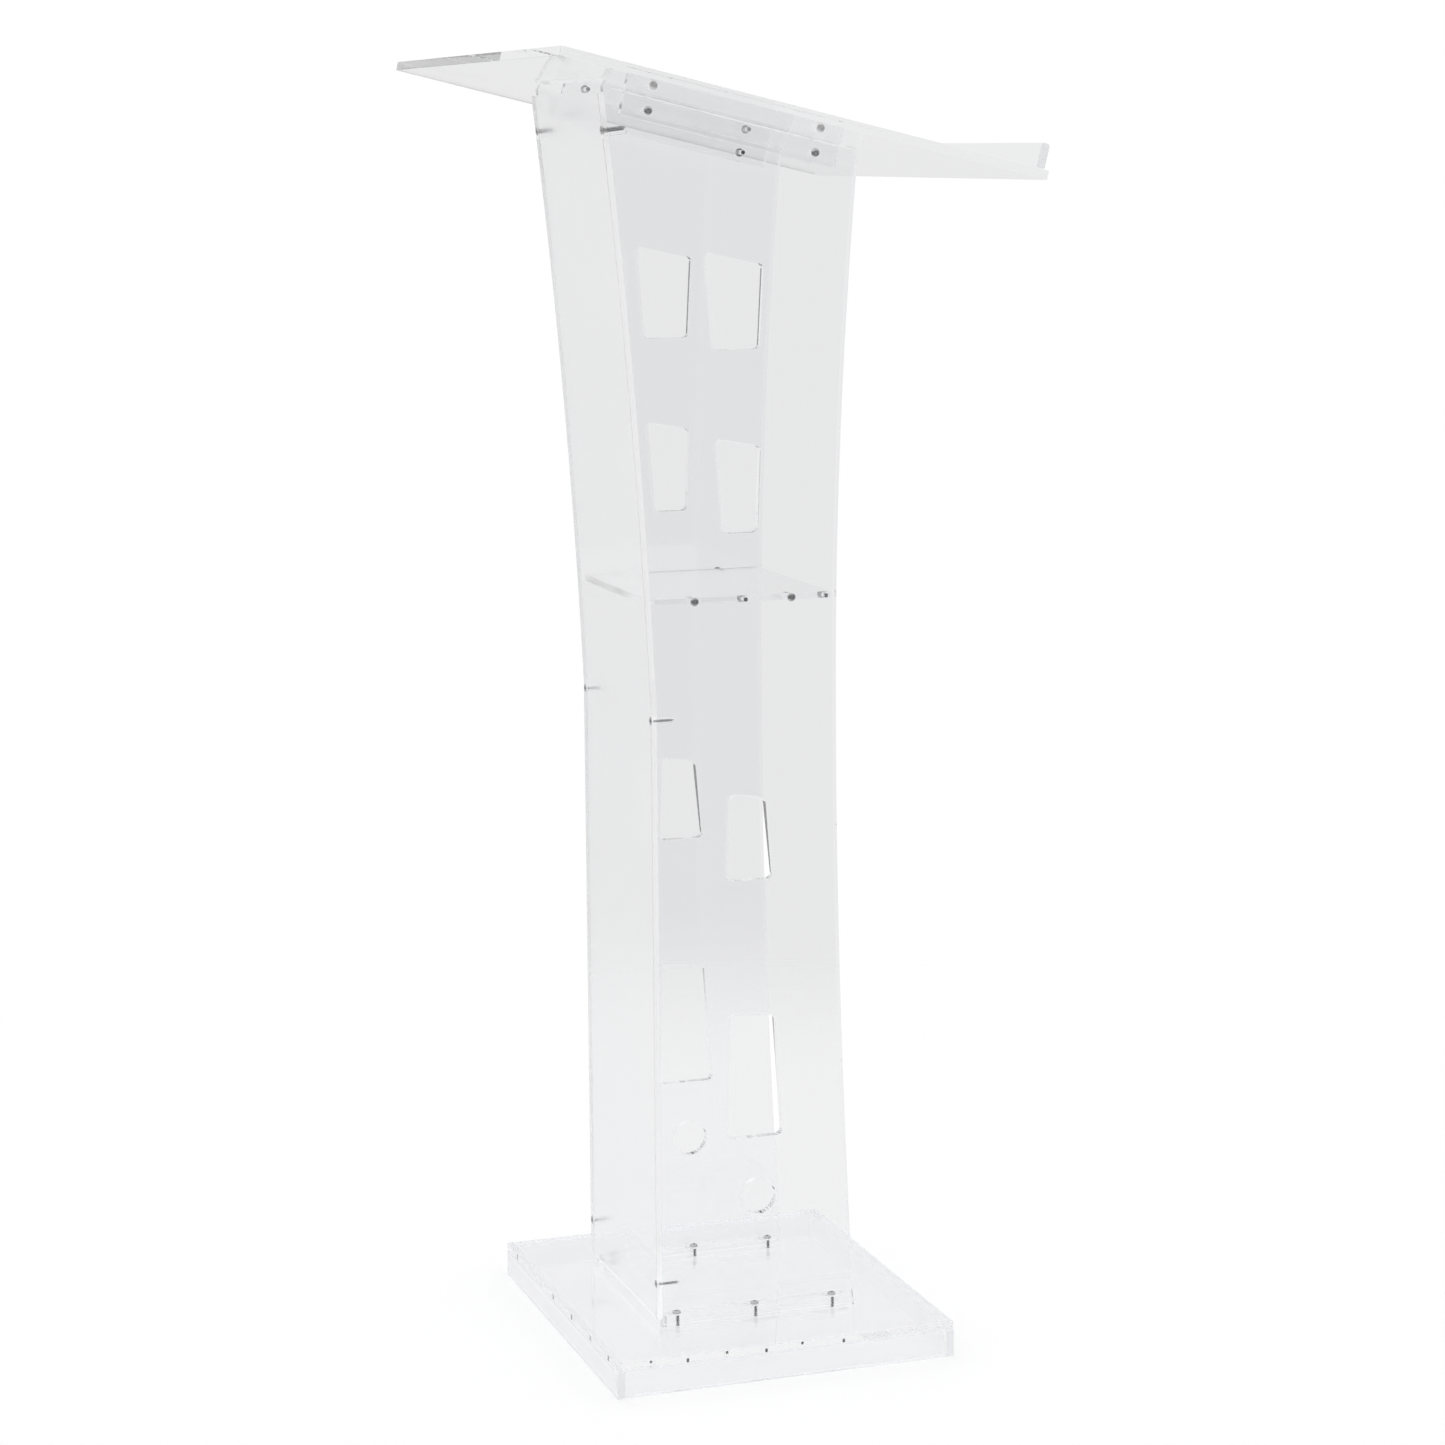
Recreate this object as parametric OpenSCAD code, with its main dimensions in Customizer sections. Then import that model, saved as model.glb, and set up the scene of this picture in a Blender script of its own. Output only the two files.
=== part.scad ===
// Presentation lectern of clear acrylic sheet.
// A hollow skirted base, a waisted column of two side panels and one bent front panel, a shelf,
// and a sloping reading board with a book ledge. Millimetres, +Z up, origin on the floor under
// the middle of the reading board. The audience is at -Y, the speaker at +Y; left and right are
// the speaker's own, so left is +X.

/* [Sheet] */
// Thickness of the flat sheets, apart from the shelf
sheet_t = 8; // [6:1:10]
// Thickness of the bent front panel
front_t = 5; // [4:1:6]
// Thickness of the shelf
shelf_t = 6; // [5:1:8]

/* [Base] */
// Width of the base, left to right
base_w = 370; // [340:5:440]
// Depth of the base, front to back
base_d = 330; // [300:5:400]
// Height of the skirt strips under the base plate
skirt_h = 25; // [20:1:40]
// Radius of the vertical corners of the base plate
base_corner_r = 2; // [1:0.5:4]

/* [Column] */
// Width across the outer faces of the side panels
column_w = 212; // [200:2:240]
// Distance from the middle of the base to the straight lower front edge of the side panels
front_edge_y = 95.5; // [92:0.5:100]
// Height at which the front edge stops being vertical
bend_z = 612; // [580:2:640]
// Lean of the front edge just above the bend, in degrees
bend_angle = 2.4; // [0:0.2:4]
// Radius of the forward curve above the bend
front_curve_r = 7500; // [6000:100:10000]
// Height of the waist, where the rear edge comes furthest forward
waist_z = 635; // [610:5:660]
// Distance from the middle of the base to the rear edge at the waist
waist_y = 77.5; // [72:0.5:84]
// Radius of the rear edge above the waist
rear_upper_r = 5300; // [5000:100:7000]
// Radius of the rear edge below the waist
rear_lower_r = 10000; // [8500:250:14000]
// Gap left between the front panel and the base plate
front_panel_lift = 8; // [4:1:12]
// Gap left between the front panel and the reading board
front_panel_drop = 5; // [3:1:8]

/* [Side windows] */
// Radius of the corners of the four windows
window_r = 5; // [3:0.5:7]
// Diameter of the round cable hole low in each side panel
cable_hole_d = 34; // [28:1:40]
// Height of the centre of the cable hole
cable_hole_z = 150; // [130:1:165]

/* [Reading board] */
// Height of the highest edge of the board above the floor
total_h = 1200; // [1180:2:1220]
// Width of the board, left to right
board_w = 564; // [500:2:640]
// Length of the board along its slope
board_l = 448; // [430:2:470]
// Slope of the board, in degrees
board_tilt = 13.5; // [12:0.5:15]
// How far the middle of the base lies behind the middle of the board
base_back = 11; // [6:1:16]
// Radius of the corners of the board
board_corner_r = 3; // [1:0.5:8]
// Height of the book ledge above the board
ledge_h = 22; // [16:1:30]
// Margin between the book ledge and the low edge of the board
ledge_margin = 5.5; // [3:0.5:12]

/* [Shelf] */
// Height of the middle of the shelf
shelf_z = 713; // [690:0.5:730]
// Depth of the shelf, front to back
shelf_d = 170; // [150:1:170]

/* [Cleats] */
// Height of the cleats under the reading board
desk_cleat_h = 20; // [16:1:24]
// Length of the cleats under the reading board
desk_cleat_l = 208; // [180:1:210]
// Width of the cleats on the base plate
base_cleat_w = 16; // [14:1:24]
// Length of the cleats on the base plate
base_cleat_l = 180; // [170:1:184]

/* [Screws] */
// Diameter of the screw shanks
screw_d = 4; // [3:0.5:4.5]
// Diameter of the screw heads
head_d = 8; // [7:0.5:9]
// Height of the button heads
head_h = 2.2; // [2:0.1:3]
// Clearance around each shank
screw_clear = 0.1; // [0.05:0.05:0.3]
// Distance from the middle of the outer base screws to the middle one
base_screw_pitch = 77.5; // [70:0.5:80]

/* [Hidden] */

clear_sheet = [0.88, 0.89, 0.91, 0.45];
clear_strip = [0.80, 0.83, 0.88, 0.60];
screw_steel = [0.25, 0.25, 0.27, 1.0];

// from the middle of the base to the board's high edge, which puts the origin under the middle
// of the board's own depth
board_front_y = base_back + (board_l * cos(board_tilt) - sheet_t * sin(board_tilt)) / 2;

// heights of the base and the column's inner faces
base_h = skirt_h + sheet_t;
inner_x = column_w / 2 - sheet_t;
panel_mid_x = inner_x + sheet_t / 2;

// lengths of the screws: each ends inside the sheet or cleat that it holds
desk_screw_l = 2 * sheet_t;
shelf_screw_l = 20;
front_screw_l = 22;
base_screw_l = sheet_t + 6;
// the conical head of the front screws is as deep as it is wider than its shank, at 90 degrees
cone_h = (head_d - screw_d) / 2;
socket_d = 2.9;
socket_depth = 1.3;
// the front screws taper to a point at the far end
point_h = 3;
point_r = 0.4;

// places of the screws
front_screw_zs = [75, 606, 1129];
shelf_screw_ys = [-59, 34];
desk_screw_us = [137.5, 298.5];
desk_screw_drop = 11;
desk_cleat_u = 115;
base_screw_x = inner_x - base_cleat_w / 2;
base_screw_ys = [-base_screw_pitch, 0, base_screw_pitch];

// steps along each curved edge, and fineness of the holes and heads
edge_steps = 16;
corner_steps = 6;
round_fn = 48;
bore_fn = 96;
// angle between the points of the small arcs: the ledge's rounded top and the heads' domes
arc_step = 15;
dome_step = 14;
// repeats that settle where an edge meets the board
repeats = 12;
// how far a cutting shape passes through the face it cuts
over = 1;

// ---------- the base's own frame ----------
// Everything is drawn about the middle of the base and then moved back by this step.
module placed() {
    translate([0, base_back, 0])
        children();
}

// ---------- the reading board's plane ----------
// The board's own axes: u runs down the slope from the high edge, w is square to the board and
// zero on its top face. A point (x, u, w) goes to the object's frame through on_board().
module on_board() {
    translate([0, -board_front_y, total_h])
        rotate([-board_tilt, 0, 0])
            children();
}
// height of the underside of the board above a given y
function underside_z(y) =
    total_h - sheet_t / cos(board_tilt) - (y + board_front_y) * tan(board_tilt);

// ---------- outline of the column ----------
// y of the side panels' front edge, grown outwards by t
function front_y(z, t = 0) =
    z <= bend_z ? -front_edge_y - t
    : -front_edge_y - tan(bend_angle) * (z - bend_z) - pow(z - bend_z, 2) / (2 * front_curve_r) - t;
// lean of the front edge at a height, in degrees from vertical
function front_lean(z) = z <= bend_z ? 0 : atan(tan(bend_angle) + (z - bend_z) / front_curve_r);
// y of the rear edge
function rear_y(z) =
    waist_y + pow(z - waist_z, 2) / (2 * (z > waist_z ? rear_upper_r : rear_lower_r));
// heights spread evenly from one value to another
function spread(low, high, steps) = [for (i = [0 : steps]) low + (high - low) * i / steps];

// height where an edge curve meets the underside of the board, found by a few repeated steps
function meet_front(z, n) = n == 0 ? z : meet_front(underside_z(front_y(z)), n - 1);
function meet_rear(z, n) = n == 0 ? z : meet_rear(underside_z(rear_y(z)), n - 1);
column_front_top = meet_front(total_h, repeats);
column_rear_top = meet_rear(total_h, repeats);

// the profile is drawn in (y, z): front edge upwards, then the sloping top, then the rear edge down
module column_profile() {
    front_edge = [for (z = concat([base_h], spread(bend_z, column_front_top, edge_steps)))
        [front_y(z), z]];
    below_waist = [for (i = [1 : edge_steps]) waist_z + (base_h - waist_z) * i / edge_steps];
    rear_edge = [for (z = concat(spread(column_rear_top, waist_z, edge_steps), below_waist))
        [rear_y(z), z]];
    polygon(concat(front_edge, rear_edge));
}

// ---------- rounded windows ----------
// a convex outline with each corner replaced by an arc
function unit(v) = v / norm(v);
function corner_arc(before, at, after, r) =
    let (a = unit(before - at), b = unit(after - at),
         half = acos(a * b) / 2,
         centre = at + unit(a + b) * r / sin(half),
         start = at + a * r / tan(half) - centre,
         end = at + b * r / tan(half) - centre)
    [for (i = [0 : corner_steps])
        let (m = start * (corner_steps - i) + end * i)
        centre + unit(m) * r];
function rounded_outline(points, r) =
    let (n = len(points))
    [for (i = [0 : n - 1])
        for (p = corner_arc(points[(i + n - 1) % n], points[i], points[(i + 1) % n], r)) p];

// each window: its corners (y, z) as front low, rear low, rear high, front high
windows = [
    [[-30.5, 207.5], [24, 207.5], [16.5, 323], [-26.5, 326]],
    [[-28.5, 452.5], [15.5, 452.5], [8, 528], [-25.5, 533]],
    [[-30, 773.5], [2, 773.5], [5, 851], [-36.5, 859]],
    [[-39, 938.5], [4.5, 938.5], [8.5, 1014], [-45.5, 1026]]
];

// ---------- building blocks ----------
// draws a (y, z) profile and thickens it along +X
module along_x(thickness) {
    rotate([90, 0, 90])
        linear_extrude(height = thickness)
            children();
}
// a flat sheet with rounded corners, its lower face at z = 0
module rounded_sheet(width, depth, thickness, r) {
    corners = [[-width / 2, 0], [width / 2, 0], [width / 2, depth], [-width / 2, depth]];
    linear_extrude(height = thickness)
        polygon(rounded_outline(corners, r));
}
// button-head screw along +Z: the head's seat is at z = 0 and the head is below it
module button_screw(length) {
    difference() {
        union() {
            cylinder(d = screw_d, h = length, $fn = round_fn);
            rotate_extrude($fn = round_fn)
                polygon(concat([[0, 0], [0, -head_h]],
                    [for (a = [5 * dome_step : -dome_step : 0])
                        [head_d / 2 * cos(a), -head_h * sin(a)]]));
        }
        translate([0, 0, -head_h - over])
            cylinder(d = socket_d, h = over + socket_depth, $fn = 6);
    }
}
// countersunk screw along +Z: the flat face of its head is at z = 0
module countersunk_screw(length) {
    difference() {
        rotate_extrude($fn = round_fn)
            polygon([[0, 0], [head_d / 2, 0], [screw_d / 2, cone_h],
                     [screw_d / 2, length - point_h], [point_r, length], [0, length]]);
        translate([0, 0, -over])
            cylinder(d = socket_d, h = over + socket_depth, $fn = 6);
    }
}
// clearance hole along +Z from z = 0, starting a little before it
module screw_hole(length) {
    translate([0, 0, -over])
        cylinder(d = screw_d + 2 * screw_clear, h = length + over, $fn = round_fn);
}
// countersink along +Z from z = 0
module countersink() {
    rotate_extrude($fn = round_fn)
        polygon([[0, -over], [head_d / 2 + screw_clear + over, -over],
                 [head_d / 2 + screw_clear, 0], [screw_d / 2 + screw_clear, cone_h], [0, cone_h]]);
}

// ---------- places of the screws, each with +Z pointing into the joint ----------
// side is +1 on the speaker's left and -1 on the speaker's right
module at_desk_screws(side) {
    on_board()
        for (u = desk_screw_us)
            translate([side * column_w / 2, u, -sheet_t - desk_screw_drop])
                rotate([0, -90 * side, 0])
                    children();
}
module at_shelf_screws(side) {
    for (y = shelf_screw_ys)
        translate([side * column_w / 2, y, shelf_z])
            rotate([0, -90 * side, 0])
                children();
}
module at_front_screws(side) {
    for (z = front_screw_zs)
        translate([side * panel_mid_x, front_y(z, front_t / cos(front_lean(z))), z])
            rotate([-90 + front_lean(z), 0, 0])
                children();
}
module at_base_screws(side) {
    for (y = base_screw_ys)
        translate([side * base_screw_x, y, base_h + sheet_t])
            rotate([180, 0, 0])
                children();
}

// ---------- reading board ----------
module reading_board() {
    color(clear_sheet) placed()
        on_board()
            translate([0, 0, -sheet_t])
                rounded_sheet(board_w, board_l, sheet_t, board_corner_r);
}
module book_ledge() {
    top_r = sheet_t / 3;
    low = board_l - ledge_margin;
    color(clear_strip) placed()
        on_board()
            translate([-board_w / 2, 0, 0])
                along_x(board_w)
                    polygon(concat(
                        [[low - sheet_t, 0], [low, 0]],
                        [for (a = [0 : arc_step : 90])
                            [low - top_r + top_r * cos(a), ledge_h - top_r + top_r * sin(a)]],
                        [for (a = [90 : arc_step : 180])
                            [low - sheet_t + top_r + top_r * cos(a),
                             ledge_h - top_r + top_r * sin(a)]]));
}
module desk_cleat(side) {
    color(clear_strip) placed()
        difference() {
            on_board()
                translate([side > 0 ? inner_x - sheet_t : -inner_x, desk_cleat_u,
                           -sheet_t - desk_cleat_h])
                    cube([sheet_t, desk_cleat_l, desk_cleat_h]);
            at_desk_screws(side) screw_hole(desk_screw_l + over);
        }
}

// ---------- column ----------
module side_panel(side) {
    color(clear_sheet) placed()
        difference() {
            translate([side > 0 ? inner_x : -column_w / 2, 0, 0])
                along_x(sheet_t) column_profile();
            for (corners = windows)
                translate([side > 0 ? inner_x - over : -column_w / 2 - over, 0, 0])
                    along_x(sheet_t + 2 * over)
                        polygon(rounded_outline(corners, window_r));
            translate([side * (inner_x - over), 0, cable_hole_z])
                rotate([0, 90 * side, 0])
                    cylinder(d = cable_hole_d, h = sheet_t + 2 * over, $fn = bore_fn);
            at_desk_screws(side) screw_hole(sheet_t + over);
            at_shelf_screws(side) screw_hole(sheet_t + over);
            at_front_screws(side) screw_hole(front_screw_l + screw_clear);
        }
}
module front_panel() {
    low = base_h + front_panel_lift;
    high = column_front_top - front_panel_drop;
    heights = concat([low], spread(bend_z, high, edge_steps));
    inner = [for (z = heights) [front_y(z), z]];
    outer = [for (i = [len(heights) - 1 : -1 : 0])
        let (z = heights[i], lean = front_lean(z))
        [front_y(z) - front_t * cos(lean), z - front_t * sin(lean)]];
    color(clear_sheet) placed()
        difference() {
            translate([-column_w / 2, 0, 0])
                along_x(column_w)
                    polygon(concat(inner, outer));
            for (side = [-1, 1])
                at_front_screws(side) {
                    screw_hole(2 * front_t);
                    countersink();
                }
        }
}
module shelf() {
    color(clear_sheet) placed()
        difference() {
            translate([-inner_x, -front_edge_y, shelf_z - shelf_t / 2])
                cube([2 * inner_x, shelf_d, shelf_t]);
            for (side = [-1, 1])
                at_shelf_screws(side) screw_hole(shelf_screw_l + screw_clear);
        }
}
module base_cleat(side) {
    color(clear_strip) placed()
        difference() {
            translate([side > 0 ? inner_x - base_cleat_w : -inner_x, -base_cleat_l / 2, base_h])
                cube([base_cleat_w, base_cleat_l, sheet_t]);
            at_base_screws(side) screw_hole(sheet_t + over);
        }
}

// ---------- base ----------
module base_plate() {
    color(clear_sheet) placed()
        difference() {
            translate([0, -base_d / 2, skirt_h])
                rounded_sheet(base_w, base_d, sheet_t, base_corner_r);
            for (side = [-1, 1])
                at_base_screws(side) screw_hole(base_screw_l + over);
        }
}
// the front and rear skirts run the whole width, and the other two fit between them
module long_skirt(end) {
    color(clear_strip) placed()
        translate([-base_w / 2, end > 0 ? base_d / 2 - sheet_t : -base_d / 2, 0])
            cube([base_w, sheet_t, skirt_h]);
}
module short_skirt(side) {
    color(clear_strip) placed()
        translate([side > 0 ? base_w / 2 - sheet_t : -base_w / 2, -base_d / 2 + sheet_t, 0])
            cube([sheet_t, base_d - 2 * sheet_t, skirt_h]);
}

// ---------- screws ----------
module desk_screws(side) {
    color(screw_steel) placed() at_desk_screws(side) button_screw(desk_screw_l);
}
module shelf_screws(side) {
    color(screw_steel) placed() at_shelf_screws(side) button_screw(shelf_screw_l);
}
module front_screws(side) {
    color(screw_steel) placed() at_front_screws(side) countersunk_screw(front_screw_l);
}
module base_screws(side) {
    color(screw_steel) placed() at_base_screws(side) button_screw(base_screw_l);
}

reading_board();
book_ledge();
desk_cleat(1);  // desk_cleat_left
desk_cleat(-1);  // desk_cleat_right
side_panel(1);  // side_panel_left
side_panel(-1);  // side_panel_right
front_panel();
shelf();
base_cleat(1);  // base_cleat_left
base_cleat(-1);  // base_cleat_right
base_plate();
long_skirt(-1);  // base_skirt_front
long_skirt(1);  // base_skirt_rear
short_skirt(1);  // base_skirt_left
short_skirt(-1);  // base_skirt_right
desk_screws(1);  // desk_screws_left
desk_screws(-1);  // desk_screws_right
shelf_screws(1);  // shelf_screws_left
shelf_screws(-1);  // shelf_screws_right
front_screws(1);  // front_screws_left
front_screws(-1);  // front_screws_right
base_screws(1);  // base_screws_left
base_screws(-1);  // base_screws_right
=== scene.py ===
import math

import bmesh
import bpy
import numpy as np
from mathutils import Matrix, Vector


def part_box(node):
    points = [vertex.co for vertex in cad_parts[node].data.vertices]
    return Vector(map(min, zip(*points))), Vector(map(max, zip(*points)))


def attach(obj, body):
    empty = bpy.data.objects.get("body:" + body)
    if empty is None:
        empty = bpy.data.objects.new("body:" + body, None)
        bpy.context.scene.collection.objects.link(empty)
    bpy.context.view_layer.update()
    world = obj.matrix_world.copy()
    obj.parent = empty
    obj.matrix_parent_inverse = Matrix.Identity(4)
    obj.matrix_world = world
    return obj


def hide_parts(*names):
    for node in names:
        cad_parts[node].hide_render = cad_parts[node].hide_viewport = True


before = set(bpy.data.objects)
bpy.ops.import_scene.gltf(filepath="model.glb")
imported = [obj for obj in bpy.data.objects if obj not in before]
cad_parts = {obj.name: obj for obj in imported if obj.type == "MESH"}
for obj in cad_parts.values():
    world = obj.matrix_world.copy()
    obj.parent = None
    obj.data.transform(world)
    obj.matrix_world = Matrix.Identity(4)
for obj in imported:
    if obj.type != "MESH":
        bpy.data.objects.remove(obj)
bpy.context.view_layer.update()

MM = 0.001
SHEET_NODES = (
    "reading_board", "book_ledge", "desk_cleat_left", "desk_cleat_right",
    "side_panel_left", "side_panel_right", "front_panel", "shelf",
    "base_cleat_left", "base_cleat_right", "base_plate",
    "base_skirt_front", "base_skirt_rear", "base_skirt_left", "base_skirt_right",
)
BUTTON_NODES = (
    "desk_screws_left", "desk_screws_right", "shelf_screws_left", "shelf_screws_right",
    "base_screws_left", "base_screws_right",
)
COUNTERSUNK_NODES = ("front_screws_left", "front_screws_right")

# ---------- sheets ----------
AIR_GAP = 0.05 * MM  # between sheets that touch, so that each one's faces stay its own
CHAMFER = 0.2 * MM  # the small break along every sharp edge
SHARP = math.radians(30)
MERGE = 0.002 * MM  # points closer than this are one point
FLAT = math.radians(0.05)  # faces that meet at less than this are one flat face
BROAD = 0.93  # a broad face's normal is at least this much along the sheet's thickness
LEVEL = 0.95  # a level face's normal is at least this much along Z


def node_bmesh(node):
    """The CAD node's shape, welded, with its flat faces whole."""
    bm = bmesh.new()
    bm.from_mesh(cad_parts[node].data)
    bmesh.ops.remove_doubles(bm, verts=bm.verts, dist=MERGE)
    bmesh.ops.dissolve_limit(
        bm, angle_limit=FLAT, verts=bm.verts, edges=bm.edges, delimit={"NORMAL"})
    bmesh.ops.recalc_face_normals(bm, faces=bm.faces)
    return bm


def draw_in(bm, distance):
    """Moves every face inwards by distance."""
    bm.normal_update()
    moves = [v.normal * (distance * v.calc_shell_factor()) for v in bm.verts]
    for v, move in zip(bm.verts, moves):
        v.co -= move


def finish_mesh(bm, name):
    """A mesh with crisp flats and smooth curves, where a flat face keeps its own normal."""
    mesh = bpy.data.meshes.new(name)
    bm.to_mesh(mesh)
    bm.free()
    mesh.shade_smooth()
    mesh.set_sharp_from_angle(angle=SHARP)
    kinds = {}
    for polygon in mesh.polygons:
        for edge in polygon.edge_keys:
            kinds.setdefault(edge, set()).add(polygon.material_index)
    for edge in mesh.edges:
        if len(kinds[edge.key]) > 1:
            edge.use_edge_sharp = True
    holder = bpy.data.objects.new(name, mesh)
    bpy.context.scene.collection.objects.link(holder)
    weighted = holder.modifiers.new("normals", "WEIGHTED_NORMAL")
    weighted.keep_sharp = True
    weighted.weight = 100
    done = bpy.data.meshes.new_from_object(
        holder.evaluated_get(bpy.context.evaluated_depsgraph_get()))
    bpy.data.objects.remove(holder)
    bpy.data.meshes.remove(mesh)
    done.name = name
    return done


BEND_Z = 612 * MM
BEND_ANGLE = math.radians(2.4)
FRONT_CURVE_R = 7500 * MM
BEND_MID = 614 * MM
BEND_HALF = 3 * MM  # the bend is shaded as if it were rounded over twice this height
BEND_ROWS = 4  # of faces within that height, which carry the shading
LEAN_BROAD = 0.95  # the front panel's broad faces have at least this much of their normal along Y


def front_lean(z):
    """How far the front panel leans out at a height."""
    above = BEND_ANGLE + (z - BEND_Z) / FRONT_CURVE_R
    soft = min(1.0, max(0.0, (z - BEND_MID + BEND_HALF) / (2 * BEND_HALF)))
    return above * soft * soft * (3 - 2 * soft)


def lean_normals(mesh):
    """Shades the front panel's broad faces as one curve. The mesh itself keeps the CAD's shape."""
    normals = [tuple(c.vector) for c in mesh.corner_normals]
    for polygon in mesh.polygons:
        if abs(polygon.normal.y) < LEAN_BROAD:
            continue
        sense = 1 if polygon.normal.y > 0 else -1
        for loop in polygon.loop_indices:
            lean = front_lean(mesh.vertices[mesh.loops[loop].vertex_index].co.z)
            normals[loop] = (0.0, sense * math.cos(lean), sense * math.sin(lean))
    mesh.normals_split_custom_set(normals)


def put(name, mesh, node, slot, *materials):
    """Shows the mesh in place of the CAD node."""
    piece = bpy.data.objects.new(name, mesh)
    bpy.context.scene.collection.objects.link(piece)
    for m in materials:
        mesh.materials.append(m)
    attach(piece, "root")
    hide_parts(node)
    return piece


POLISHED, CUT, SAWN, HAZED, FILMED, WELDED = range(6)  # a sheet's material slots
SIDE_PANELS = ("side_panel_left", "side_panel_right")
LONG_SKIRTS = ("base_skirt_front", "base_skirt_rear")
SHORT_SKIRTS = ("base_skirt_left", "base_skirt_right")
COLUMN_MID = Vector((0, 11 * MM, 0))  # the column and the base are centred here
COLUMN_FRONT_Y = COLUMN_MID.y - 80 * MM  # a side panel's front edge is in front of this
SQUARE = 0.9  # the end of a strip has at least this much of its normal along X
ON_BOARD = SIDE_PANELS + ("desk_cleat_left", "desk_cleat_right")
SHEET = 8 * MM
TOP_BAND = 60 * MM  # the sloping top of a piece under the board falls by less than this
BASE_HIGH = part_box("base_plate")[1] - COLUMN_MID


def finish_of(node, face, broad):
    """Which of the sheet materials a face has."""
    centre, normal = face.calc_center_median() - COLUMN_MID, face.normal
    if node == "front_panel":
        return FILMED if broad and normal.y > 0 else POLISHED if broad else HAZED
    if node == "base_plate":
        return POLISHED if broad else CUT
    if node in LONG_SKIRTS + SHORT_SKIRTS and broad:
        return HAZED if normal.x * centre.x + normal.y * centre.y < 0 else POLISHED
    if broad:
        return POLISHED
    if node in SIDE_PANELS:
        return SAWN if centre.y + COLUMN_MID.y < COLUMN_FRONT_Y else CUT
    if node in LONG_SKIRTS + ("book_ledge",):
        return SAWN if abs(normal.x) > SQUARE else CUT
    return CUT


def cut_faces(bm, which, cuts):
    """Splits the faces that which() picks. A cut is an axis, and where its plane crosses it."""
    for axis, place in cuts:
        faces = [f for f in bm.faces if which(f)]
        point, normal = Vector((0, 0, 0)), Vector((0, 0, 0))
        point[axis], normal[axis] = place, 1
        bmesh.ops.bisect_plane(
            bm, plane_co=point, plane_no=normal,
            geom=faces + list({e for f in faces for e in f.edges})
            + list({v for f in faces for v in f.verts}))


def footprint(node):
    """A node's lowest and highest x, then its lowest and highest y."""
    low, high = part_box(node)
    return low.x, high.x, low.y, high.y


def weld(bm, node):
    """Marks the faces that solvent has welded to another sheet, which leaves no surface there."""
    def faces_down(f):
        return f.normal.z < -LEVEL

    def faces_up(f):
        return f.normal.z > LEVEL

    if node == "base_plate":
        inner = [BASE_HIGH[axis] - SHEET for axis in (0, 1)]
        cut_faces(bm, faces_down, [(axis, COLUMN_MID[axis] + side * inner[axis])
                                   for axis in (0, 1) for side in (-1, 1)])
        for f in filter(faces_down, bm.faces):
            centre = f.calc_center_median() - COLUMN_MID
            if any(abs(centre[axis]) > inner[axis] for axis in (0, 1)):
                f.material_index = WELDED
    elif node == "reading_board":
        prints = [footprint(n) for n in ON_BOARD]
        cut_faces(bm, faces_down, sorted(
            {(0, round(x, 6)) for p in prints for x in p[:2]}
            | {(1, round(y, 6)) for p in prints for y in p[2:]}))
        for f in filter(faces_down, bm.faces):
            c = f.calc_center_median()
            if any(p[0] < c.x < p[1] and p[2] < c.y < p[3] for p in prints):
                f.material_index = WELDED
    elif node in LONG_SKIRTS + SHORT_SKIRTS or node in ON_BOARD:
        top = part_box(node)[1].z - TOP_BAND
        for f in filter(faces_up, bm.faces):
            if f.calc_center_median().z > top:
                f.material_index = WELDED


ONE_SIDE = Vector((1, 0.1, 0.01))  # opposite faces are told apart by this direction


def thickness_axis(bm):
    """The direction that most of a sheet's area faces, which is along its thickness."""
    total = {}
    for f in bm.faces:
        n = f.normal if f.normal.dot(ONE_SIDE) > 0 else -f.normal
        key = tuple(round(c, 1) for c in n)
        total[key] = total.get(key, 0) + f.calc_area()
    best = max(total, key=total.get)
    return Vector(best).normalized()


def sheet_piece(node, materials):
    """Makes a sheet from its CAD node, with chamfers, finishes and welds."""
    bm = node_bmesh(node)
    draw_in(bm, AIR_GAP)
    if node == "front_panel":
        for k in range(BEND_ROWS + 1):
            bmesh.ops.bisect_plane(
                bm, geom=bm.verts[:] + bm.edges[:] + bm.faces[:],
                plane_co=(0, 0, BEND_MID + (2 * k / BEND_ROWS - 1) * BEND_HALF),
                plane_no=(0, 0, 1))
    bm.normal_update()
    sharp_edges = [
        e for e in bm.edges
        if len(e.link_faces) == 2 and e.calc_face_angle(0) > SHARP
    ]
    bmesh.ops.bevel(
        bm, geom=sharp_edges, offset=CHAMFER, offset_type="OFFSET", segments=1,
        profile=0.5, affect="EDGES", clamp_overlap=True)
    bm.normal_update()
    axis = thickness_axis(bm)
    for f in bm.faces:
        f.material_index = finish_of(node, f, abs(f.normal.dot(axis)) > BROAD)
    weld(bm, node)
    mesh = finish_mesh(bm, f"{node}_acrylic")
    if node == "front_panel":
        lean_normals(mesh)
    put(f"{node}_acrylic", mesh, node, "clear_acrylic", *materials)


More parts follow.
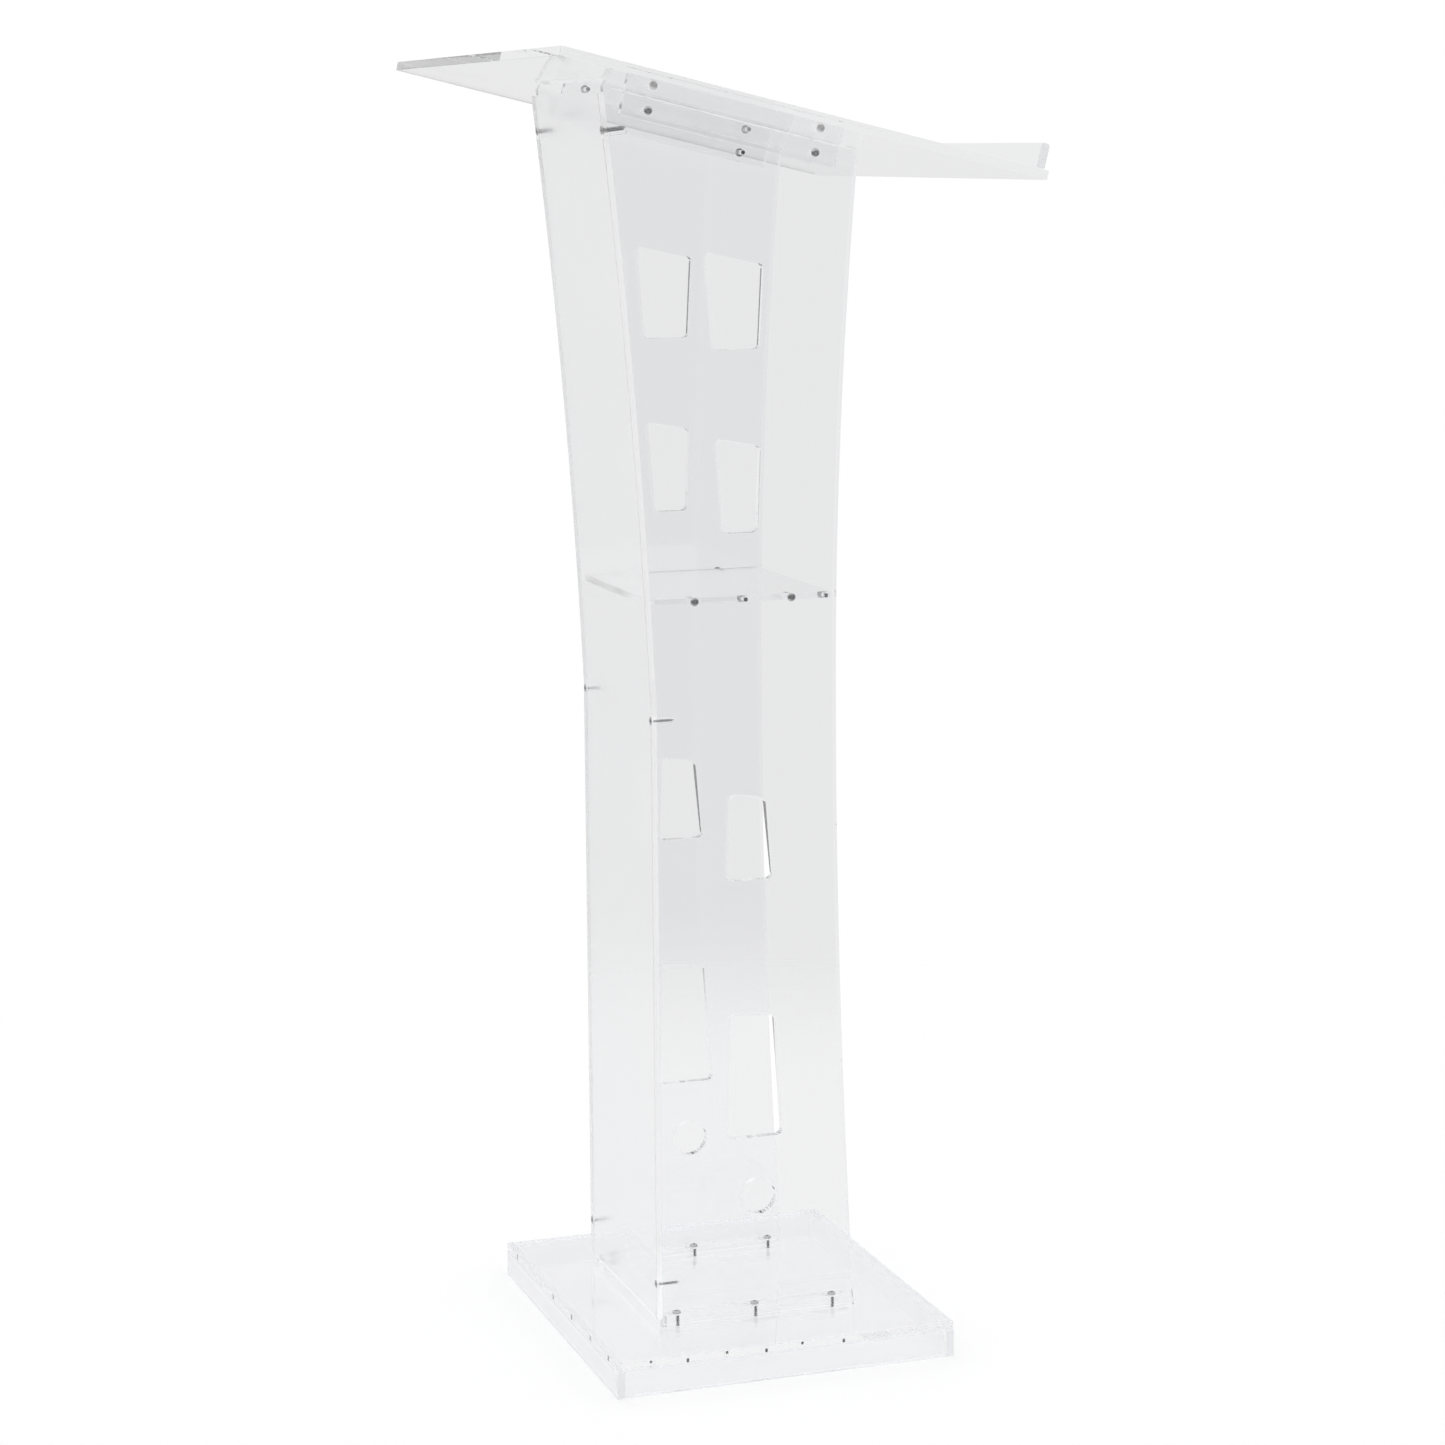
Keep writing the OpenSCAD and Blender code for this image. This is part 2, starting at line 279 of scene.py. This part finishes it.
# ---------- screws ----------
HEAD_R = 4 * MM
HEAD_RIM = 0.93  # of the radius: points farther out than this are on the head's rim
HEAD_H = 2.2 * MM
SHANK_R = 2 * MM
THREAD_DEPTH = 0.38 * MM
PITCH = 0.7 * MM
AROUND = 24
PER_TURN = 5
SOCKET_R = 1.45 * MM
SOCKET_DEPTH = 1.3 * MM
DRILL_POINT = 0.35 * SOCKET_R  # the depth of the cone under the socket
PLAIN_NECK = 0.8 * MM
THREADS_FROM = 0.5 * MM  # below the head's rim
TIP_CHAMFER = 0.6 * MM
POINT_LENGTH = 3 * MM
POINT_R = 0.4 * MM
TIP_SHORT = 0.02 * MM  # the tip stops this far short, to stay inside the CAD solid
NECK_TOP = 0.25 * MM
SEAT_DEPTH = 2.0 * MM  # of a countersunk head


def loose_parts(node):
    """The separate solids of a node, as arrays of points."""
    bm = bmesh.new()
    bm.from_mesh(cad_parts[node].data)
    bmesh.ops.remove_doubles(bm, verts=bm.verts, dist=MERGE)
    left, parts = set(bm.verts), []
    while left:
        todo = [left.pop()]
        part = []
        while todo:
            v = todo.pop()
            part.append(v.co.copy())
            for e in v.link_edges:
                w = e.other_vert(v)
                if w in left:
                    left.remove(w)
                    todo.append(w)
        parts.append(np.array(part))
    bm.free()
    return sorted(parts, key=lambda p: tuple(p.mean(0).round(4)))


def screw_place(points):
    """Matrix whose +Z runs from the middle of the head's rim to the screw's tip, and its length."""
    middle = (points.min(0) + points.max(0)) / 2
    axis = np.linalg.svd(points - middle, full_matrices=False)[2][0]
    along = (points - middle) @ axis
    radius = np.linalg.norm(points - middle - np.outer(along, axis), axis=1)
    rim = radius > HEAD_RIM * radius.max()
    if along[rim].mean() > 0:
        axis, along = -axis, -along
    seat = points[rim].mean(0)
    length = along.max() - along[rim].mean()
    z = Vector(axis).normalized()
    x = z.orthogonal().normalized()
    y = z.cross(x)
    place = Matrix((x, y, z)).transposed().to_4x4()
    place.translation = Vector(seat)
    return place, float(length)


def ring(bm, radius, z, groove=None):
    """A circle of points at a height. groove gives how much less the radius is at each."""
    points = []
    for i in range(AROUND):
        a = 2 * math.pi * i / AROUND
        r = radius if groove is None else radius - groove(z, a)
        points.append(bm.verts.new((r * math.cos(a), r * math.sin(a), z)))
    return points


def skin(bm, lower, upper):
    """Joins two rings with faces."""
    n = len(lower)
    for i in range(n):
        bm.faces.new((lower[i], lower[(i + 1) % n], upper[(i + 1) % n], upper[i]))


def thread_groove(start, end):
    """Depth of a V thread at a height and an angle, running out at both ends."""
    def depth(z, a):
        phase = (z / PITCH - a / (2 * math.pi)) % 1.0
        fade = min(1.0, max(0.0, (z - start) / PITCH), max(0.0, (end - z) / PITCH))
        return THREAD_DEPTH * abs(2 * phase - 1) * fade
    return depth


def hex_socket(bm, top_z, top_ring):
    """Closes the top of a head with a hexagonal recess."""
    mouth, floor = [], []
    for i in range(AROUND):
        a = 2 * math.pi * i / AROUND
        sector = (a + math.pi / 6) % (math.pi / 3) - math.pi / 6
        r = SOCKET_R * math.cos(math.pi / 6) / math.cos(sector)
        point = (r * math.cos(a), r * math.sin(a))
        mouth.append(bm.verts.new((*point, top_z)))
        floor.append(bm.verts.new((*point, top_z + SOCKET_DEPTH)))
    skin(bm, mouth, top_ring)
    skin(bm, floor, mouth)
    centre = bm.verts.new((0, 0, top_z + SOCKET_DEPTH + DRILL_POINT))
    for i in range(AROUND):
        bm.faces.new((floor[i], centre, floor[(i + 1) % AROUND]))


def shank(bm, first, start, length, pointed):
    """Threaded shank from a ring to the tip."""
    end = length - (POINT_LENGTH if pointed else TIP_CHAMFER)
    groove = thread_groove(start + PLAIN_NECK, end)
    rows = max(2, round((end - start) / PITCH * PER_TURN))
    last = first
    for k in range(1, rows + 1):
        z = start + (end - start) * k / rows
        row = ring(bm, SHANK_R, z, groove=groove)
        skin(bm, last, row)
        last = row
    row = ring(bm, POINT_R if pointed else SHANK_R - TIP_CHAMFER, length - TIP_SHORT)
    skin(bm, last, row)
    bm.faces.new(row)


def button_screw(length):
    """A domed head above z = 0, with its shank below it towards +Z."""
    bm = bmesh.new()
    profile = [(r * HEAD_R, -h * HEAD_H) for r, h in (
        (0.50, 0.97), (0.64, 0.93), (0.78, 0.80), (0.89, 0.60), (0.965, 0.36),
        (0.99, 0.18), (0.985, 0.04), (0.96, 0.0))]
    rows = [ring(bm, r, z) for r, z in profile]
    hex_socket(bm, profile[0][1], rows[0])
    for a, b in zip(rows, rows[1:]):
        skin(bm, a, b)
    fillet = ring(bm, SHANK_R * 1.12, 0.0)
    skin(bm, rows[-1], fillet)
    neck = ring(bm, SHANK_R, NECK_TOP)
    skin(bm, fillet, neck)
    shank(bm, neck, NECK_TOP, length, False)
    return bm


def countersunk_screw(length):
    """A flat head at z = 0, which narrows into its shank towards +Z."""
    bm = bmesh.new()
    profile = [(0.52 * HEAD_R, 0.02 * MM), (0.95 * HEAD_R, 0.02 * MM),
               (0.985 * HEAD_R, 0.12 * MM), (0.96 * HEAD_R, 0.26 * MM),
               (SHANK_R * 1.02, SEAT_DEPTH)]
    rows = [ring(bm, r, z) for r, z in profile]
    hex_socket(bm, profile[0][1], rows[0])
    for a, b in zip(rows, rows[1:]):
        skin(bm, a, b)
    shank(bm, rows[-1], SEAT_DEPTH, length, True)
    return bm


def mark_threads_for_painted_shade(bm):
    """Gives the shank the second material, a darker steel that is painted shade of the threads in
    their bores, before the screw is moved to its place.
    """
    for f in bm.faces:
        centre = f.calc_center_median()
        on_shank = math.hypot(centre.x, centre.y) < 1.05 * SHANK_R
        if centre.z > THREADS_FROM and on_shank:
            f.material_index = 1


def screw_piece(node, make, materials):
    """Makes one screw for each solid of the node, and joins them in one piece."""
    whole = bmesh.new()
    for points in loose_parts(node):
        place, length = screw_place(points)
        bm = make(length)
        bmesh.ops.recalc_face_normals(bm, faces=bm.faces)
        if make is button_screw:
            mark_threads_for_painted_shade(bm)
        bm.transform(place)
        part = bpy.data.meshes.new("part")
        bm.to_mesh(part)
        bm.free()
        whole.from_mesh(part)
        bpy.data.meshes.remove(part)
    name = f"{node}_steel"
    put(name, finish_mesh(whole, name), node, "screw_steel", *materials)


# ---------- materials ----------
class Nodes:
    """Short names for building a node tree."""

    def __init__(self, tree):
        self.tree = tree
        tree.nodes.clear()

    def add(self, kind, **values):
        node = self.tree.nodes.new(kind)
        for key, value in values.items():
            setattr(node, key, value)
        return node

    def join(self, source, target):
        self.tree.links.new(source, target)

    def feed(self, target, value):
        if isinstance(value, bpy.types.NodeSocket):
            self.join(value, target)
        else:
            target.default_value = value

    def maths(self, operation, *values):
        node = self.add("ShaderNodeMath", operation=operation)
        for socket, value in zip(node.inputs, values):
            self.feed(socket, value)
        return node.outputs[0]

    def remap(self, value, low, high, to_low, to_high, smooth=False):
        node = self.add("ShaderNodeMapRange")
        if smooth:
            node.interpolation_type = "SMOOTHSTEP"
        for key, v in (("Value", value), ("From Min", low), ("From Max", high),
                       ("To Min", to_low), ("To Max", to_high)):
            self.feed(node.inputs[key], v)
        return node.outputs[0]

    def blend(self, factor, a, b):
        """a where factor is 0, b where it is 1."""
        node = self.add("ShaderNodeMix")
        self.feed(node.inputs["Factor"], factor)
        self.feed(node.inputs["A"], a)
        self.feed(node.inputs["B"], b)
        return node.outputs["Result"]

    def noise(self, vector, scale, detail):
        node = self.add("ShaderNodeTexNoise")
        self.feed(node.inputs["Vector"], vector)
        node.inputs["Scale"].default_value = scale
        node.inputs["Detail"].default_value = detail
        return node.outputs["Fac"]

    def stretched(self, vector, scale):
        node = self.add("ShaderNodeMapping")
        self.feed(node.inputs["Vector"], vector)
        node.inputs["Scale"].default_value = scale
        return node.outputs[0]

    def bump(self, height, strength, distance):
        node = self.add("ShaderNodeBump")
        self.feed(node.inputs["Height"], height)
        node.inputs["Strength"].default_value = strength
        node.inputs["Distance"].default_value = distance
        return node.outputs[0]


def new_material(name):
    m = bpy.data.materials.new(name)
    m.use_nodes = True
    return m, Nodes(m.node_tree)


ACRYLIC_IOR = 1.49
WELD_IOR = 1.0  # a weld joins two sheets into one, so light isn't bent there
CLEAR_TINTS = (0.985, 0.988, 0.997, 1), (0.995, 0.996, 1.0, 1)
SAWN_TINTS = (0.80, 0.81, 0.83, 1), (0.92, 0.925, 0.935, 1)
TINT_SCALE = 5.0  # patches of tint, per metre
SAW_LINES = (500, 500, 30)  # per metre: the saw's lines run along Z
SAW_DEPTH = 0.02 * MM
SCUFF_LINES = (40, 40, 900)
SCUFFED = (0.62, 0.8)  # only the noise's highest peaks are scuffs
RIPPLE_SCALE = 9.0
RIPPLE_DEPTH = 0.4 * MM
MIDDLE = (0.3, 0.7)  # the range that most of a noise's values lie in


def clear_shader(name, tints, ior):
    """A clear material with a faint variation of tint. Roughness and normal are set by its caller."""
    m, n = new_material(name)
    where = n.add("ShaderNodeTexCoord").outputs["Object"]
    out = n.add("ShaderNodeOutputMaterial")
    p = n.add("ShaderNodeBsdfPrincipled")
    tone = n.add("ShaderNodeMix", data_type="RGBA")
    n.feed(tone.inputs["Factor"], n.noise(where, TINT_SCALE, 2.0))
    tone.inputs["A"].default_value, tone.inputs["B"].default_value = tints
    n.join(tone.outputs["Result"], p.inputs["Base Color"])
    p.inputs["Transmission Weight"].default_value = 1.0
    p.inputs["IOR"].default_value = ior
    n.join(p.outputs[0], out.inputs["Surface"])
    return m, n, where, p


def acrylic(name, ripple, rough, striated=False, tints=CLEAR_TINTS):
    """Clear cast acrylic: a faint ripple and hairline scuffs, or on cut edges the saw's lines."""
    m, n, where, p = clear_shader(name, tints, ACRYLIC_IOR)
    if striated:
        lines = n.noise(n.stretched(where, SAW_LINES), 1.0, 1.0)
        wear = n.remap(lines, *MIDDLE, *rough)
        normal = n.bump(lines, ripple, SAW_DEPTH)
    else:
        scuffs = n.noise(n.stretched(where, SCUFF_LINES), 1.0, 4.0)
        wear = n.remap(scuffs, *SCUFFED, *rough)
        normal = n.bump(n.noise(where, RIPPLE_SCALE, 1.0), ripple, RIPPLE_DEPTH)
    n.join(wear, p.inputs["Roughness"])
    n.join(normal, p.inputs["Normal"])
    return m


def welded(name):
    """The weld between two sheets, which light goes straight through."""
    m, _, _, p = clear_shader(name, CLEAR_TINTS, WELD_IOR)
    p.inputs["Roughness"].default_value = 0.0
    return m


PATCHES, TURNING, GRAIN = 700.0, 1800.0, 5200.0  # the steel's noise scales, per metre
STEEL_ROUGH = (0.12, 0.30)
GRAIN_STRENGTH, GRAIN_DEPTH = 0.25, 0.02 * MM


def steel(name, dull, bright):
    """Stainless steel: fine turning marks, with duller patches."""
    m, n = new_material(name)
    where = n.add("ShaderNodeTexCoord").outputs["Object"]
    out = n.add("ShaderNodeOutputMaterial")
    p = n.add("ShaderNodeBsdfPrincipled")
    p.inputs["Metallic"].default_value = 1.0
    tone = n.add("ShaderNodeMix", data_type="RGBA")
    n.feed(tone.inputs["Factor"], n.noise(where, PATCHES, 3.0))
    tone.inputs["A"].default_value, tone.inputs["B"].default_value = dull, bright
    n.join(tone.outputs["Result"], p.inputs["Base Color"])
    n.join(n.remap(n.noise(where, TURNING, 2.0), *MIDDLE, *STEEL_ROUGH), p.inputs["Roughness"])
    n.join(n.bump(n.noise(where, GRAIN, 2.0), GRAIN_STRENGTH, GRAIN_DEPTH), p.inputs["Normal"])
    n.join(p.outputs[0], out.inputs["Surface"])
    return m


# ---------- studio ----------
SHEET_BOUNCES = 100  # light in a sheet's edge is reflected many times before it leaves
FLOOR_R = 2.4
LIT_FLOOR = (1.0, 1.7)  # the floor's own light ends between these distances from the object
CARD_WAY = Vector((0.932, 0.32, -0.17)).normalized()  # towards the dark card
CARD_EDGE = (math.cos(math.radians(15)), math.cos(math.radians(9)))
OVERHEAD_EDGE = (0.25, 0.7)  # of a direction's Z: the light overhead starts, and is full
DARK_SIDE_EDGE = (-0.1, 0.3)  # of a direction's X
WHITE = 1.0
DOME = 1.075  # lights the floor
BACKDROP, BACKDROP_MIRRORED = 0.86, 0.80
OVERHEAD, OVERHEAD_THROUGH = 1.05, 1.22
DARK_SIDE = 0.32
CARD = 0.07
FLOOR_SEEN, FLOOR_THROUGH = 0.93, 0.82


def studio():
    """A pale room whose brightness depends on the kind of ray.

    The camera sees white. Through a sheet the room is light grey, and a mirrored ray sees its
    +X side darker. The dark card is seen only by rays that were reflected on the way.
    """
    scene = bpy.context.scene
    scene.view_settings.view_transform = "Standard"
    scene.cycles.max_bounces = SHEET_BOUNCES
    scene.cycles.transmission_bounces = SHEET_BOUNCES
    scene.cycles.glossy_bounces = SHEET_BOUNCES
    scene.cycles.blur_glossy = 0

    world = bpy.data.worlds.new("studio")
    scene.world = world
    world.cycles.sampling_method = "NONE"
    world.use_nodes = True
    n = Nodes(world.node_tree)
    way = n.add("ShaderNodeTexCoord").outputs["Generated"]
    axes = n.add("ShaderNodeSeparateXYZ")
    n.join(way, axes.inputs[0])
    path = n.add("ShaderNodeLightPath")

    overhead = n.remap(axes.outputs["Z"], *OVERHEAD_EDGE, 0.0, 1.0, smooth=True)
    towards = n.add("ShaderNodeVectorMath", operation="DOT_PRODUCT")
    n.join(way, towards.inputs[0])
    towards.inputs[1].default_value = CARD_WAY
    card = n.remap(towards.outputs["Value"], *CARD_EDGE, 0.0, 1.0, smooth=True)
    turned = n.maths("MINIMUM", path.outputs["Glossy Depth"], 1.0)
    card = n.maths("MULTIPLY", card, turned)

    through = n.blend(overhead, BACKDROP, OVERHEAD_THROUGH)
    through = n.blend(card, through, CARD)
    mirrored = n.remap(
        axes.outputs["X"], *DARK_SIDE_EDGE, BACKDROP_MIRRORED, DARK_SIDE, smooth=True)
    mirrored = n.blend(overhead, mirrored, OVERHEAD)
    level = n.blend(path.outputs["Is Reflection Ray"], through, mirrored)
    level = n.blend(path.outputs["Is Diffuse Ray"], level, DOME)
    level = n.blend(path.outputs["Is Camera Ray"], level, WHITE)

    sky = n.add("ShaderNodeBackground")
    sky.inputs["Color"].default_value = (1, 1, 1, 1)
    n.join(level, sky.inputs["Strength"])
    out = n.add("ShaderNodeOutputWorld")
    n.join(sky.outputs[0], out.inputs["Surface"])

    m, f = new_material("floor")
    where = f.add("ShaderNodeTexCoord").outputs["Object"]
    length = f.add("ShaderNodeVectorMath", operation="LENGTH")
    f.join(where, length.inputs[0])
    edge = f.remap(length.outputs["Value"], *LIT_FLOOR, 0.0, 1.0, smooth=True)
    path = f.add("ShaderNodeLightPath")
    paint = f.add("ShaderNodeBsdfDiffuse")
    tone = f.blend(path.outputs["Is Camera Ray"], FLOOR_THROUGH, FLOOR_SEEN)
    f.join(tone, paint.inputs["Color"])
    clear = f.add("ShaderNodeBsdfTransparent")
    mix = f.add("ShaderNodeMixShader")
    f.join(edge, mix.inputs[0])
    f.join(paint.outputs[0], mix.inputs[1])
    f.join(clear.outputs[0], mix.inputs[2])
    out = f.add("ShaderNodeOutputMaterial")
    f.join(mix.outputs[0], out.inputs["Surface"])

    bm = bmesh.new()
    bmesh.ops.create_circle(bm, cap_ends=True, radius=FLOOR_R, segments=96)
    mesh = bpy.data.meshes.new("floor")
    bm.to_mesh(mesh)
    bm.free()
    mesh.materials.append(m)
    floor = bpy.data.objects.new("floor", mesh)
    scene.collection.objects.link(floor)


CAMERA_AT = Vector((3.000, -1.0201, 1.1217))
CAMERA_TURN = (70.97, 9.65, -0.36)  # azimuth, elevation and roll, in degrees
LENS, SENSOR = 85.05, 36  # mm


def camera():
    """Stands the camera at the photograph's viewing angle."""
    azimuth, elevation, roll = (math.radians(a) for a in CAMERA_TURN)
    back = Vector((math.sin(azimuth) * math.cos(elevation),
                   -math.cos(azimuth) * math.cos(elevation), math.sin(elevation)))
    right = Vector((0, 0, 1)).cross(back).normalized()
    up = back.cross(right)
    right, up = (right * math.cos(roll) + up * math.sin(roll),
                 up * math.cos(roll) - right * math.sin(roll))
    data = bpy.data.cameras.new("camera")
    data.sensor_width = SENSOR
    data.lens = LENS
    cam = bpy.data.objects.new("camera", data)
    bpy.context.scene.collection.objects.link(cam)
    cam.matrix_world = (Matrix.Translation(CAMERA_AT)
                        @ Matrix((right, up, back)).transposed().to_4x4())
    bpy.context.scene.camera = cam


camera()
studio()
sheet_materials = (
    acrylic("acrylic_polished", 0.10, (0.0, 0.05)),
    acrylic("acrylic_cut_edge", 0.04, (0.0, 0.05), striated=True),
    acrylic("acrylic_sawn_edge", 0.35, (0.34, 0.50), striated=True,
            tints=SAWN_TINTS),
    acrylic("acrylic_hazed", 0.10, (0.30, 0.36)),
    acrylic("acrylic_filmed", 0.10, (0.20, 0.24)),
    welded("acrylic_weld"),
)
screw_metals = (
    steel("stainless_steel", (0.32, 0.32, 0.33, 1), (0.58, 0.57, 0.56, 1)),
    # the threads' steel is far darker than the heads': painted shade of the threads in their bores
    steel("stainless_threads_painted_shade", (0.07, 0.07, 0.075, 1), (0.20, 0.20, 0.195, 1)),
)
for node in SHEET_NODES:
    sheet_piece(node, sheet_materials)
for node in BUTTON_NODES:
    screw_piece(node, button_screw, screw_metals)
for node in COUNTERSUNK_NODES:
    screw_piece(node, countersunk_screw, screw_metals)
